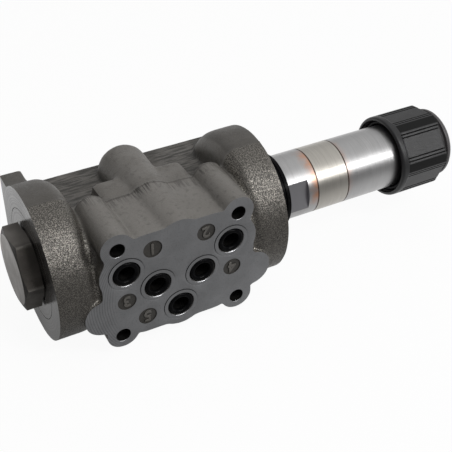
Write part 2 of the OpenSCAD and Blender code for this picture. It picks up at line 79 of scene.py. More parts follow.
# Machining
BOLT_R, BOLT_MOUTH_R, SPOT_R = 3.3, 4.42, 6.8
PORT_R, SEAL_R, SEAL_DEPTH, SEAL_MOUTH_R = 4.0, 5.95, 2.15, 7.25
TOOL_R, TOOL_OUTER_R = 7.75, 8.3
LABEL_R, LABEL_EDGE_R, LABEL_MOUTH_R, LABEL_DEPTH = 4.0, 4.15, 4.4, 0.6
BORE_R, CHAMBER_R, CHAMBER_HALF = 9.0, 12.5, 3.1
CHAMBERS = (-23.9, -11.75, 0.0, 11.75, 23.9)
CAVITY_R, CAVITY_X = 13.5, 41.0
END_RING = (24.35, 24.7)

# Middle (x, z) and depth of each oil port, and the middles of the label recesses
PORTS = {
    "p": (0.0, -16.7, 34.0),
    "a": (-10.3, -1.6, 24.5),
    "b": (10.3, -1.6, 24.5),
    "t1": (-23.8, 9.5, 28.5),
    "t2": (23.8, 9.5, 28.5),
}
LABELS = [(-12.0, 18.4), (12.0, 18.4), (-24.4, -5.0), (24.4, -5.0), (-15.6, -16.8)]

# Casting skin: voxel of its remesh, and (millimetres, waves per metre) of its bumps
VOXEL = 0.6
FILLET_PASSES = 30
GRAIN, SWELL = (0.045, 650.0), (0.06, 130.0)
SEAM_Y = 29.3
SEAM_WANDER, SEAM_RAGGED = (0.5, 55.0), (0.3, 500.0)
SEAM_STEP, SEAM_STEP_W = 0.16, 0.12
FLASH, FLASH_W = 0.20, 0.45

# Nut: places along X, radii, and its grip's groove pairs
NUT_MOUTH, NUT_GRIP, NUT_NECK, NUT_DISC, NUT_END = 125.7, 129.1, 152.0, 154.7, 157.8
NUT_R, NUT_FLAT_R, NUT_NECK_R, NUT_DISC_R = 19.9, 18.3, 15.2, 17.0
NUT_MOUTH_R, NUT_THREAD_X, NUT_THREAD_R, NUT_HOLE_X, NUT_HOLE_R = 18.0, 140.3, 15.1, 157.4, 7.0
NUT_VOXEL, NUT_PASSES, NUT_TURN = 0.4, 4, 20.0
GROOVES, GROOVE_HALF, GROOVE_FLOOR = (-6.7, -5.1, 5.1, 6.7), 0.35, 17.4

# Radius of the solenoid tube, and places along X of its two brazed joints
TUBE_R, BRAZE_INNER_X, BRAZE_OUTER_X = 15.4, 80.6, 97.4

# Smallest angle in degrees that stays a sharp edge
BODY_SHARP, NUT_SHARP = 35, 40


# Meshes

def new_object(name, verts, faces):
    mesh = bpy.data.meshes.new(name)
    mesh.from_pydata([[c * MM for c in v] for v in verts], [], faces)
    bm = bmesh.new()
    bm.from_mesh(mesh)
    bmesh.ops.recalc_face_normals(bm, faces=bm.faces)
    bm.to_mesh(mesh)
    bm.free()
    obj = bpy.data.objects.new(name, mesh)
    bpy.context.scene.collection.objects.link(obj)
    return obj


def skin_faces(rings, sides, closed=False):
    """Faces between rings of points, capped at both ends, or joined from the last ring to the first."""
    faces = []
    for i in range(rings if closed else rings - 1):
        j = (i + 1) % rings
        for k in range(sides):
            n = (k + 1) % sides
            faces.append((i * sides + k, i * sides + n, j * sides + n, j * sides + k))
    if not closed:
        faces.append(tuple(range(sides)))
        faces.append(tuple((rings - 1) * sides + k for k in range(sides)))
    return faces


def lathe(name, profile, axis="X", centre=(0.0, 0.0), sides=128, closed=False):
    """Turned solid from (place along the axis, radius) pairs; centre is its place in the two other axes.

    A closed profile goes round the section of a ring.
    """
    verts = []
    for along, r in profile:
        for k in range(sides):
            a = 2 * math.pi * k / sides
            u, v = centre[0] + r * math.cos(a), centre[1] + r * math.sin(a)
            verts.append((along, u, v) if axis == "X" else (u, along, v))
    return new_object(name, verts, skin_faces(len(profile), sides, closed))


def box(name, x, y, z):
    verts = [(a, b, c) for a in x for b in y for c in z]
    faces = [(0, 1, 3, 2), (4, 6, 7, 5), (0, 4, 5, 1), (2, 3, 7, 6), (0, 2, 6, 4), (1, 5, 7, 3)]
    return new_object(name, verts, faces)


def loft_y(name, outlines):
    """Solid between outlines of (x, z) points at increasing depths."""
    verts = [(x, y, z) for y, points in outlines for x, z in points]
    return new_object(name, verts, skin_faces(len(outlines), len(outlines[0][1])))


def rounded(width, height, r, lift, steps=10):
    """Rectangle with round corners, lifted along Z."""
    points = []
    for sx, sz, start in ((1, 1, 0), (-1, 1, 90), (-1, -1, 180), (1, -1, 270)):
        for i in range(steps + 1):
            a = math.radians(start + 90 * i / steps)
            x = sx * (width / 2 - r) + r * math.cos(a)
            points.append((x, lift + sz * (height / 2 - r) + r * math.sin(a)))
    return points


def join(objs, name):
    bm = bmesh.new()
    for o in objs:
        bm.from_mesh(o.data)
    mesh = bpy.data.meshes.new(name)
    bm.to_mesh(mesh)
    bm.free()
    for o in objs:
        bpy.data.objects.remove(o)
    obj = bpy.data.objects.new(name, mesh)
    bpy.context.scene.collection.objects.link(obj)
    return obj


def bake_modifiers(obj):
    depsgraph = bpy.context.evaluated_depsgraph_get()
    mesh = bpy.data.meshes.new_from_object(obj.evaluated_get(depsgraph))
    obj.modifiers.clear()
    obj.data = mesh


def boolean(obj, cutter, operation="DIFFERENCE"):
    m = obj.modifiers.new("cut", "BOOLEAN")
    m.operation = operation
    m.solver = "MANIFOLD"
    m.object = cutter
    bake_modifiers(obj)
    bpy.data.objects.remove(cutter)


def soften(obj, voxel, passes):
    """Remeshes the joined pieces into one skin and rounds its edges and inner corners."""
    m = obj.modifiers.new("skin", "REMESH")
    m.mode = "VOXEL"
    m.voxel_size = voxel * MM
    m = obj.modifiers.new("fillets", "SMOOTH")
    m.factor = 0.5
    m.iterations = passes
    bake_modifiers(obj)


def vectors(source, field, count):
    """One row of three numbers for each vertex or face of a mesh collection."""
    values = np.empty(count * 3)
    source.foreach_get(field, values)
    return values.reshape(-1, 3)


# Body: cast first, then machined

def flange_solid(side, rim, edge, steps=16):
    """Round end flange with a rim of one width and a full radius over its inner edge."""
    profile = []
    for i in range(steps + 1):
        a = math.pi / 2 * i / steps
        profile.append((side * (HALF - rim - edge * math.cos(a)), FLANGE_R - edge + edge * math.sin(a)))
    profile.append((side * (HALF + STOCK), FLANGE_R))
    return lathe("flange", profile, "X", (AXIS_Y, 0.0))


def chest_solid():
    corners = ((1, 1, (CHEST_WIDE, CHEST_NARROW)), (-1, 1, (CHEST_NARROW, CHEST_WIDE)),
               (-1, -1, (CHEST_WIDE, CHEST_NARROW)), (1, -1, (CHEST_NARROW, CHEST_WIDE)))
    outline = [(sx * x, sz * z) for sx, sz, pair in corners for x, z in pair]
    return loft_y("chest", [(-STOCK, outline), (AXIS_Y, outline)])


def front_flange_solids(side):
    """The mould's front half has a wider rim and a saddle that runs down to the port pad."""
    length = [(side * SADDLE_X, SADDLE_R), (side * (HALF + STOCK), SADDLE_R)]
    saddle = lathe("saddle", length, "X", (SADDLE_Y, 0.0))
    reach = lathe("c", [(side * 20.0, SADDLE_REACH), (side * PAST_END, SADDLE_REACH)], "X", (AXIS_Y, 0.0))
    boolean(saddle, reach, "INTERSECT")
    made = [flange_solid(side, *FRONT_RIM), saddle]
    for piece in made:
        boolean(piece, box("c", *FRONT_HALF), "INTERSECT")
    return made


def ridge_solid(side, steps=8):
    """Gallery ridge along Y with a round far end."""
    profile = [(-STOCK, RIDGE_R)]
    for i in range(steps + 1):
        a = math.pi / 2 * i / steps
        along = RIDGE_DEPTH - RIDGE_ROUND + RIDGE_ROUND * math.sin(a)
        profile.append((along, RIDGE_R - RIDGE_ROUND + RIDGE_ROUND * math.cos(a)))
    return lathe("ridge", profile, "Y", (0.0, side * RIDGE_Z + CAST_SHIFT))


def cast_solids():
    """Rough casting, with stock left on every face that is machined."""
    end, back = HALF + STOCK, BODY_DEPTH + STOCK
    made = [box("waist", (-end, end), (WAIST_Y, back), (-WAIST_HALF, WAIST_HALF)), chest_solid()]
    for side in (-1, 1):
        made += [flange_solid(side, *BACK_RIM)] + front_flange_solids(side)
    made.append(loft_y("block", [
        (-STOCK, rounded(BLOCK_W, BLOCK_H, BLOCK_R, CAST_SHIFT)),
        (BLOCK_DEPTH, rounded(BLOCK_W, BLOCK_BACK_H, BLOCK_R, CAST_SHIFT)),
    ]))
    tank_x, tank_z, _ = PORTS["t2"]
    for side in (-1, 1):
        made.append(ridge_solid(side))
        for sx in (-1, 1):
            place = (sx * BOLT_X, side * BOLT_Z + CAST_SHIFT)
            made.append(lathe("boss", [(-STOCK, BOSS_R), (BOLT_DEPTH, BOSS_BACK_R)], "Y", place, 64))
        for name, r, place in (("bulge", BULGE_R, (side * tank_x, tank_z)),
                               ("lobe", LOBE_R, (side * LOBE_X, LOBE_Z))):
            made.append(lathe(name, [(-STOCK, r), (PAD_DEPTH, r)], "Y", place, 96))
    made.append(box("lug", (-end, LUG_X), (LUG_Y, back), (0.0, LUG_Z)))
    return join(made, "cast_body")


def roughen(body):
    """Cast skin: bumps along the normals, and a step with a ragged flash where the mould's halves meet."""
    mesh = body.data
    count = len(mesh.vertices)
    co = vectors(mesh.vertices, "co", count)
    normals = vectors(mesh.vertex_normals, "vector", count)
    apart = Vector((7.0, 3.0, 1.0))
    lift = np.array([
        GRAIN[0] * noise.noise(Vector(p) * GRAIN[1]) + SWELL[0] * noise.noise(Vector(p) * SWELL[1] + apart)
        for p in co
    ])
    seam = np.array([
        SEAM_Y + SEAM_WANDER[0] * noise.noise(Vector((p[0] * SEAM_WANDER[1], 0.0, p[2] * SEAM_WANDER[1])))
        + SEAM_RAGGED[0] * noise.noise(Vector(p) * SEAM_RAGGED[1])
        for p in co
    ])
    past = co[:, 1] / MM - seam
    step = SEAM_STEP / (1.0 + np.exp(np.clip(past / SEAM_STEP_W, -40.0, 40.0)))
    lift += step + FLASH * np.exp(-(past / FLASH_W) ** 2)
    co += normals * (lift * MM)[:, None]
    np.clip(co[:, 2], -FLANGE_R * MM, FLANGE_R * MM, out=co[:, 2])
    mesh.vertices.foreach_set("co", co.ravel())
    mesh.update()


def end_cutters():
    whole = (-FAR, FAR)
    return [box("c", (HALF, FAR), whole, whole), box("c", (-FAR, -HALF), whole, whole)]


def face_cutters():
    whole = (-FAR, FAR)
    return [box("c", whole, (-FAR, 0.0), whole), box("c", whole, (BODY_DEPTH, FAR), whole)]


def bolt_cutters():
    """Bolt holes with a chamfered mouth and a spot face at the back of their bosses."""
    hole = [(-1.0, BOLT_MOUTH_R), (0.12, BOLT_R), (BOLT_DEPTH, BOLT_R), (BOLT_DEPTH, SPOT_R), (FAR, SPOT_R)]
    return [lathe("c", hole, "Y", place, 64) for place in BOLTS]


def hole_cutters():
    """Port drillings with their seal seats, and the label recesses."""
    seat = [(-1.0, SEAL_MOUTH_R), (0.2, 6.05), (0.4, SEAL_R), (SEAL_DEPTH, SEAL_R), (SEAL_DEPTH, PORT_R)]
    recess = [(-5.0, LABEL_MOUTH_R), (LABEL_DEPTH - 0.05, LABEL_EDGE_R), (LABEL_DEPTH, LABEL_R)]
    ports = [lathe("c", seat + [(depth, PORT_R)], "Y", (x, z), 96) for x, z, depth in PORTS.values()]
    return ports + [lathe("c", recess, "Y", place, 64) for place in LABELS]


def mark_cutters():
    """Fine groove that the seat tool leaves round each port."""
    section = [(-0.3, TOOL_R), (0.34, TOOL_R), (0.0, TOOL_OUTER_R), (-0.3, TOOL_OUTER_R)]
    return [lathe("c", section, "Y", (x, z), closed=True) for x, z, _ in PORTS.values()]


def bore_cutters():
    """Spool bore with its chambers, and the wide cavities for plug and core at both ends."""
    profile = [(-PAST_END, CAVITY_R), (-CAVITY_X, CAVITY_R), (-CAVITY_X, BORE_R)]
    for x in CHAMBERS:
        near, past = x - CHAMBER_HALF, x + CHAMBER_HALF
        profile += [(near, BORE_R), (near, CHAMBER_R), (past, CHAMBER_R), (past, BORE_R)]
    profile += [(CAVITY_X, BORE_R), (CAVITY_X, CAVITY_R), (PAST_END, CAVITY_R)]
    return [lathe("c", profile, "X", (AXIS_Y, 0.0))]


def ring_cutters():
    """Groove in both end faces, near the edge of the turned area."""
    made = []
    inner, outer = END_RING
    for side in (-1, 1):
        x0, x1 = side * (HALF - 0.2), side * (HALF + 1.0)
        section = [(x0, inner), (x1, inner), (x1, outer), (x0, outer)]
        made.append(lathe("c", section, "X", (AXIS_Y, 0.0), closed=True))
    return made


def make_body():
    """Casting first, then every machined surface cuts through its skin."""
    body = cast_solids()
    soften(body, VOXEL, FILLET_PASSES)
    roughen(body)
    for cutters in (end_cutters, face_cutters, bolt_cutters, hole_cutters,
                    mark_cutters, bore_cutters, ring_cutters):
        boolean(body, join(cutters(), "cutters"))
    return body


# Order of the body's finishes; the last one is dark metal as painted shadow in the tool grooves
CAST, MILLED, TURNED, BORED, SUNK, GROOVE_SHADOW = range(6)


def mark_faces(body, mats):
    """Gives each face the finish of how it was made, by where it lies on the body. The inner walls of the
    tool grooves get dark metal as painted shadow.
    """
    mesh = body.data
    mesh.materials.clear()
    for m in mats:
        mesh.materials.append(m)
    count = len(mesh.polygons)
    x, y, z = vectors(mesh.polygons, "center", count).T / MM
    facing = np.abs(vectors(mesh.polygons, "normal", count)[:, 1])
    near = 0.01
    chamfer = 0.25
    inside = y > near

    def away(place):
        return np.hypot(x - place[0], z - place[1])

    milled = (np.abs(y) < near) | (np.abs(y - BODY_DEPTH) < near)
    turned = np.abs(np.abs(x) - HALF) < near
    bored = (np.hypot(y - AXIS_Y, z) < CAVITY_R + 0.1) & ~turned
    groove_shadow_faces = np.zeros(count, dtype=bool)
    for port in PORTS.values():
        bored |= (away(port) < SEAL_R + 0.02) & (y > chamfer) & (y < port[2] + 0.1)
        milled |= (away(port) < TOOL_OUTER_R + 0.1) & inside & (y <= chamfer)
        # inner walls of the tool groove, coloured as painted shadow
        groove_shadow_faces |= (np.abs(away(port) - TOOL_R) < 0.03) & inside & (y < 0.35) & (facing < 0.2)
    for bolt in BOLTS:
        bored |= (away(bolt) < BOLT_R + 0.03) & (y > 0.31)
        milled |= (away(bolt) < BOLT_R + 0.35) & inside & (y < 0.31)
        bored |= (away(bolt) < SPOT_R + 0.05) & (np.abs(y - BOLT_DEPTH) < 0.02)
    sunk = np.zeros(count, dtype=bool)
    for label in LABELS:
        sunk |= (away(label) < LABEL_MOUTH_R) & inside & (y < LABEL_DEPTH + 0.1)
    index = np.full(count, CAST, dtype=np.int32)
    for finish, faces in ((SUNK, sunk), (BORED, bored), (MILLED, milled), (TURNED, turned), (GROOVE_SHADOW, groove_shadow_faces)):
        index[faces] = finish
    mesh.polygons.foreach_set("material_index", index)
    mesh.shade_smooth()
    mesh.set_sharp_from_angle(angle=math.radians(BODY_SHARP))


# Materials

class Nodes:
    """Short names for building one node material. Places in it are millimetres of the part's frame."""

    def __init__(self, name):
        self.mat = bpy.data.materials.new(name)
        self.mat.use_nodes = True
        self.tree = self.mat.node_tree
        self.tree.nodes.clear()
        self.out = self.tree.nodes.new("ShaderNodeOutputMaterial")
        self.bsdf = self.tree.nodes.new("ShaderNodeBsdfPrincipled")
        self.tree.links.new(self.bsdf.outputs[0], self.out.inputs[0])
        coord = self.tree.nodes.new("ShaderNodeTexCoord")
        scale = self.tree.nodes.new("ShaderNodeVectorMath")
        scale.operation = "SCALE"
        scale.inputs["Scale"].default_value = 1000.0
        self.link(coord.outputs["Object"], scale.inputs[0])
        self.mm = scale.outputs[0]

    def link(self, a, b):
        self.tree.links.new(a, b)

    def put(self, value, socket):
        """Links a socket, or sets a plain value or colour on it."""
        if isinstance(value, bpy.types.NodeSocket):
            self.link(value, socket)
        elif isinstance(value, tuple):
            socket.default_value = (*value, 1.0)
        else:
            socket.default_value = value

    def math(self, op, a, b=None, clamp=False):
        n = self.tree.nodes.new("ShaderNodeMath")
        n.operation = op
        n.use_clamp = clamp
        self.put(a, n.inputs[0])
        if b is not None:
            self.put(b, n.inputs[1])
        return n.outputs[0]

    def add(self, a, b, clamp=False):
        return self.math("ADD", a, b, clamp)

    def sub(self, a, b):
        return self.math("SUBTRACT", a, b)

    def mul(self, first, *others):
        for other in others:
            first = self.math("MULTIPLY", first, other)
        return first

    def abs(self, a):
        return self.math("ABSOLUTE", a)

    def axes(self):
        n = self.tree.nodes.new("ShaderNodeSeparateXYZ")
        self.link(self.mm, n.inputs[0])
        return n.outputs[0], n.outputs[1], n.outputs[2]

    def vector(self, x, y, z):
        n = self.tree.nodes.new("ShaderNodeCombineXYZ")
        for value, socket in zip((x, y, z), n.inputs):
            self.put(value, socket)
        return n.outputs[0]

    def stretched(self, *factors):
        """The place with each axis multiplied by its factor: a small factor draws a noise out along it."""
        return self.vector(*[self.mul(c, k) for c, k in zip(self.axes(), factors)])

    def noise(self, scale, detail=2.0, rough=0.5, vector=None):
        n = self.tree.nodes.new("ShaderNodeTexNoise")
        n.inputs["Scale"].default_value = scale
        n.inputs["Detail"].default_value = detail
        n.inputs["Roughness"].default_value = rough
        self.link(vector or self.mm, n.inputs["Vector"])
        return n.outputs[0]

    def remap(self, value, a, b, c=0.0, d=1.0):
        """Soft step from c to d while the value goes from a to b."""
        n = self.tree.nodes.new("ShaderNodeMapRange")
        n.interpolation_type = "SMOOTHSTEP"
        self.put(value, n.inputs["Value"])
        for key, v in (("From Min", a), ("From Max", b), ("To Min", c), ("To Max", d)):
            self.put(v, n.inputs[key])
        return n.outputs[0]

    def mix(self, factor, a, b):
        n = self.tree.nodes.new("ShaderNodeMix")
        n.data_type = "RGBA"
        self.put(factor, n.inputs["Factor"])
        for value, socket in ((a, n.inputs[6]), (b, n.inputs[7])):
            self.put((value,) * 3 if isinstance(value, float) else value, socket)
        return n.outputs[2]

    def layered(self, color, layers):
        """Lays each (mask, colour) of a list over what is below it."""
        for mask, tone in layers:
            color = self.mix(mask, color, tone)
        return color

    def bump(self, height, distance, strength=1.0):
        n = self.tree.nodes.new("ShaderNodeBump")
        n.inputs["Distance"].default_value = distance * MM
        n.inputs["Strength"].default_value = strength
        self.link(height, n.inputs["Height"])
        return n.outputs[0]

    def finish(self, color, rough, metallic=1.0, normal=None):
        self.put(color, self.bsdf.inputs["Base Color"])
        self.put(rough, self.bsdf.inputs["Roughness"])
        self.put(metallic, self.bsdf.inputs["Metallic"])
        if normal is not None:
            self.link(normal, self.bsdf.inputs["Normal"])
        return self.mat


def shaded(color, shade):
    """Colour made darker or lighter by a factor."""
    return tuple(shade * c for c in color)


def spool_radius(m, y, z):
    """Distance from the spool axis."""
    y = m.sub(y, AXIS_Y)
    return m.math("SQRT", m.add(m.mul(y, y), m.mul(z, z)))


def cast_material(name="cast_iron_skin", shade=1.0):
    """Grey sand-cast skin: coarse glinting grain in front of the parting line, finer and duller behind it."""
    m = Nodes(name)
    x, y, z = m.axes()
    r = spool_radius(m, y, z)
    from_middle, from_axis = m.abs(x), m.abs(z)
    coarse, grit, fine = m.noise(1.5, 2.0, 0.6), m.noise(2.8, 1.0, 0.5), m.noise(3.4, 2.0, 0.6)
    stain = m.noise(0.06, 4.0, 0.55)
    streaks = m.noise(1.0, 2.0, 0.55, m.stretched(0.10, 0.8, 0.8))
    scratch = m.noise(1.0, 3.0, 0.7, m.stretched(1.15, 0.05, 0.3))
    # regions: the flanges' front rims, their valleys with painted shade, the waist with painted shade behind
    # the block, the lug, the block's top
    front = m.remap(y, 30.0, 27.8)
    rim = m.mul(m.remap(from_middle, 29.0, 36.0), m.remap(r, 20.0, 29.0), front)
    valley_shade = m.mul(m.remap(from_middle, 29.5, 32.5), m.remap(from_middle, 37.0, 33.5))
    valley_shade = m.mul(valley_shade, m.mul(m.remap(r, 19.0, 23.0), front))
    waist = m.mul(m.remap(from_axis, 19.5, 16.8), m.remap(y, 29.0, 33.0))
    hollow_shade = m.mul(waist, m.remap(from_middle, 26.0, 8.0, 0.0, 0.45))
    lug = m.mul(m.remap(r, 31.0, 32.0), m.remap(from_middle, 36.0, 38.0))
    top = m.mul(m.remap(from_axis, 21.0, 24.0), m.remap(from_middle, 36.0, 32.0))
    # scores where the flash was dressed off, and painted shadow along the seam
    dressed = m.mul(m.remap(y, 21.0, 27.5), m.remap(y, 30.3, 29.2))
    dressed = m.mul(dressed, m.remap(m.noise(0.11, 2.0, 0.5), 0.38, 0.60, 0.35, 1.0))
    dressed = m.mul(dressed, m.remap(from_axis, 22.0, 25.5), m.remap(from_middle, 33.0, 29.0))
    scores = m.mul(m.remap(scratch, 0.49, 0.55), dressed)
    ragged = m.add(y, m.mul(m.sub(m.noise(0.9, 3.0, 0.6), 0.5), 2.2))
    seam = m.mul(m.remap(m.abs(m.sub(ragged, SEAM_Y - 0.5)), 0.75, 0.25), m.remap(from_middle, 34.0, 30.0))
    # bright broken grains on the rims, dark blotches elsewhere
    facet = m.mul(rim, m.remap(valley_shade, 0.0, 1.0, 1.0, 0.25), m.remap(grit, 0.51, 0.58))
    mottle = m.remap(m.noise(0.42, 4.0, 0.62), 0.50, 0.72, 0.0, 0.42)
    skin = m.mix(m.remap(grit, 0.38, 0.60), (0.052, 0.047, 0.040), (0.100, 0.093, 0.081))
    dark, light = shaded((0.118, 0.109, 0.097), shade), shaded((0.172, 0.163, 0.151), shade)
    color = m.layered(m.mix(m.remap(stain, 0.35, 0.68), dark, light), [
        (m.mul(m.remap(fine, 0.45, 0.72), 0.4), shaded((0.24, 0.23, 0.215), shade)),
        (m.mul(m.remap(streaks, 0.35, 0.65), m.remap(waist, 0.0, 1.0)), (0.050, 0.047, 0.043)),
        (rim, skin),
        (facet, (0.44, 0.413, 0.369)),
        # painted shade in the valleys between the rims and the bosses, which also hold fewer glinting grains
        (m.mul(valley_shade, 0.5), (0.045, 0.041, 0.036)),
        (m.mul(lug, 0.5), (0.06, 0.056, 0.051)),
        (m.mul(top, m.remap(y, 31.0, 27.0, 0.25, 0.6)), (0.240, 0.228, 0.212)),
        (m.mul(mottle, m.remap(rim, 0.0, 1.0, 1.0, 0.0)), (0.072, 0.067, 0.060)),
        (m.mul(scores, 0.8), (0.040, 0.037, 0.034)),
        # painted shadow along the ragged seam of the mould's halves
        (m.mul(seam, 0.45), (0.050, 0.046, 0.041)),
        # painted shade on the waist behind the block, strongest near the middle
        (hollow_shade, (0.055, 0.051, 0.046)),
    ])
    height = m.sub(m.mul(m.add(coarse, fine), 0.30), m.mul(scores, 0.25))
    height = m.add(height, m.mul(grit, m.remap(rim, 0.0, 1.0, 0.0, 0.2)))
    rough = m.mix(rim, m.remap(coarse, 0.35, 0.7, 0.56, 0.42), m.remap(grit, 0.42, 0.58, 0.46, 0.30))
    metallic = m.math("MAXIMUM", m.mul(facet, 0.92), 0.33)
    return m.finish(color, rough, metallic, m.bump(height, 0.36, 0.9))


def milled_material():
    """Milled port face: arcs of one cutter's sweep, deeper towards the left end."""
    m = Nodes("milled_iron")
    x, _, z = m.axes()
    sweep_r, sweep_z, feed = 37.0, 5.0, 1.14
    rise = m.add(z, sweep_z)
    across = m.math("SQRT", m.sub(sweep_r ** 2, m.mul(rise, rise)))
    swept = m.add(m.add(x, across), m.mul(m.noise(0.12, 2.0), 0.7))
    lines = m.math("SINE", m.mul(swept, 2 * math.pi / feed))
    lines = m.mul(lines, m.remap(x, -26.0, -33.0, 0.12, 1.0))
    fine_lines = m.noise(1.0, 2.0, 0.6, m.vector(m.mul(swept, 3.2), 0.0, m.mul(z, 0.08)))
    patch = m.noise(0.09, 3.0, 0.55)
    speck = m.noise(1.6, 2.0, 0.5)
    color = m.mix(m.remap(patch, 0.3, 0.7), (0.370, 0.373, 0.382), (0.440, 0.443, 0.455))
    color = m.layered(color, [
        (m.mul(m.remap(speck, 0.5, 0.8), 0.35), (0.075, 0.075, 0.077)),
        (m.remap(lines, 0.2, 1.0, 0.0, 0.34), (0.46, 0.463, 0.475)),
        (m.remap(lines, -0.2, -1.0, 0.0, 0.34), (0.12, 0.121, 0.127)),
    ])
    height = m.add(m.add(m.mul(lines, 1.2), m.mul(fine_lines, 1.4)), speck)
    return m.finish(color, m.remap(patch, 0.3, 0.7, 0.43, 0.38), 1.0, m.bump(height, 0.03, 0.8))


def turned_material(name, light, dark, rough=0.34, pitch=0.35, grain=0.6, edge=1.0):
    """Fine rings about the spool axis. On the body's ends, edge dims the mirror at grazing angles."""
    m = Nodes(name)
    m.bsdf.inputs["Specular Tint"].default_value = (edge, edge, edge, 1.0)
    _, y, z = m.axes()
    r = spool_radius(m, y, z)
    rings = m.math("SINE", m.mul(m.add(r, m.mul(m.noise(0.3, 1.0), 0.12)), 2 * math.pi / pitch))
    patch = m.noise(0.07, 3.0, 0.5)
    ring_tone = m.noise(1.0, 2.0, 0.6, m.vector(r, 0.0, 0.0))
    color = m.mix(m.remap(patch, 0.35, 0.65), dark, light)
    color = m.mix(m.mul(m.remap(ring_tone, 0.4, 0.7), 0.35), color, dark)
    if edge < 1.0:
        color = m.mix(m.remap(y, 42.0, 14.0, 0.0, 0.85), color, (0.42, 0.415, 0.41))
    height = m.add(rings, m.mul(ring_tone, 2.0))
    rough_map = m.remap(ring_tone, 0.3, 0.7, rough - 0.05, rough + 0.08)
    return m.finish(color, rough_map, 1.0, m.bump(height, 0.02, grain))


def bored_material():
    m = Nodes("bored_iron")
    patch = m.noise(0.4, 3.0, 0.5)
    color = m.mix(m.remap(patch, 0.3, 0.7), (0.085, 0.082, 0.078), (0.135, 0.13, 0.125))
    return m.finish(color, 0.42, 1.0, m.bump(m.noise(2.0, 2.0), 0.05, 0.6))


def tube_material(name, light, dark, rough=0.2, copper=(), flats=False):
    """Bright turned steel with fine lines around the axis.

    Each entry of copper is a brazed joint that stains the steel: its place along X, how far the stain
    reaches, to which side, and how strong it is. Flats gives the wrench flats a plainer, darker tone.
    """
    m = Nodes(name)
    x, y, z = m.axes()
    lines = m.noise(1.0, 3.0, 0.7, m.stretched(7.0, 0.05, 0.05))
    bands = m.noise(1.0, 2.0, 0.5, m.stretched(0.5, 0.03, 0.03))
    smear = m.noise(0.12, 3.0, 0.6)
    color = m.mix(m.remap(lines, 0.28, 0.72), dark, light)
    color = m.mix(m.mul(m.remap(smear, 0.5, 0.75), 0.25), color, dark)
    front = m.sub(z, m.sub(y, AXIS_Y))
    for place, reach, side, strength in copper:
        away = m.add(m.mul(m.sub(x, place), side), m.mul(m.noise(0.35, 3.0, 0.6), reach))
        stain = m.remap(away, 0.35 * reach, 1.35 * reach, 0.95, 0.0)
        stain = m.mul(stain, m.remap(m.noise(0.2, 2.0, 0.5), 0.36, 0.60, 0.6, 1.0))
        stain = m.mul(stain, m.remap(front, 9.0, 18.0, 0.0, strength))
        joint = m.remap(m.abs(m.sub(x, place - 0.2 * side)), 0.62, 0.32, 0.0, 0.9)
        color = m.layered(color, [(stain, (0.62, 0.33, 0.21)), (joint, (0.03, 0.016, 0.012))])
    if flats:
        flat = m.mul(m.remap(spool_radius(m, y, z), TUBE_R + 0.04, TUBE_R - 0.04), m.remap(x, 62.0, 63.0))
        color = m.mix(flat, color, (0.38, 0.376, 0.395))
    rough_map = m.remap(bands, 0.3, 0.7, rough - 0.02, rough + 0.02)
    return m.finish(color, rough_map, 1.0, m.bump(lines, 0.012, 0.05))


def plug_material():
    """Phosphated hexagon plug: worn corners, painted shade on the upper front side and along the bevel,
    painted light on the top and lower sides, a brighter end face.
    """
    m = Nodes("phosphated_plug")
    x, y, z = m.axes()
    r = spool_radius(m, y, z)
    patch = m.noise(0.12, 4.0, 0.55)
    fine = m.noise(2.4, 2.0, 0.6)
    drag = m.noise(1.0, 2.0, 0.6, m.stretched(0.25, 3.0, 3.0))
    face_x, bevel_r, bevel_slope = -61.3, 15.3, 0.364
    cone = m.sub(m.add(x, -face_x), m.mul(m.sub(r, bevel_r), bevel_slope))
    worn = m.remap(m.add(r, m.mul(fine, 0.5)), 18.1, 18.7, 0.0, 0.35)
    upper_front_shade = m.mul(m.remap(z, -3.0, 10.0), m.remap(y, 29.0, 24.0, 0.0, 0.65))
    top_face_light = m.mul(m.remap(z, 7.0, 12.0), m.remap(y, 26.0, 31.0, 0.0, 0.6))
    sides = m.mix(m.remap(patch, 0.35, 0.65), (0.085, 0.078, 0.070), (0.124, 0.114, 0.104))
    sides = m.layered(sides, [
        (m.mul(m.remap(drag, 0.5, 0.75), 0.3), (0.16, 0.150, 0.139)),
        (worn, (0.40, 0.38, 0.35)),
        # painted shade on the upper front side
        (upper_front_shade, (0.028, 0.025, 0.023)),
        # painted light on the top side
        (top_face_light, (0.20, 0.188, 0.174)),
        # painted light on the lower sides
        (m.remap(z, -3.0, -12.0, 0.0, 0.5), (0.17, 0.158, 0.145)),
        # painted shade along the bevel between the sides and the end face
        (m.remap(m.abs(cone), 0.16, 0.06, 0.0, 0.75), (0.022, 0.020, 0.018)),
    ])
    face = m.mix(m.remap(patch, 0.35, 0.65), (0.385, 0.367, 0.350), (0.470, 0.451, 0.432))
    face = m.mix(m.mul(m.remap(drag, 0.45, 0.7), 0.3), face, (0.27, 0.257, 0.241))
    color = m.mix(m.remap(x, face_x + 0.03, face_x + 0.13), face, sides)
    height = m.add(fine, m.mul(drag, 0.8))
    return m.finish(color, m.remap(patch, 0.3, 0.7, 0.5, 0.38), 1.0, m.bump(height, 0.05, 0.6))


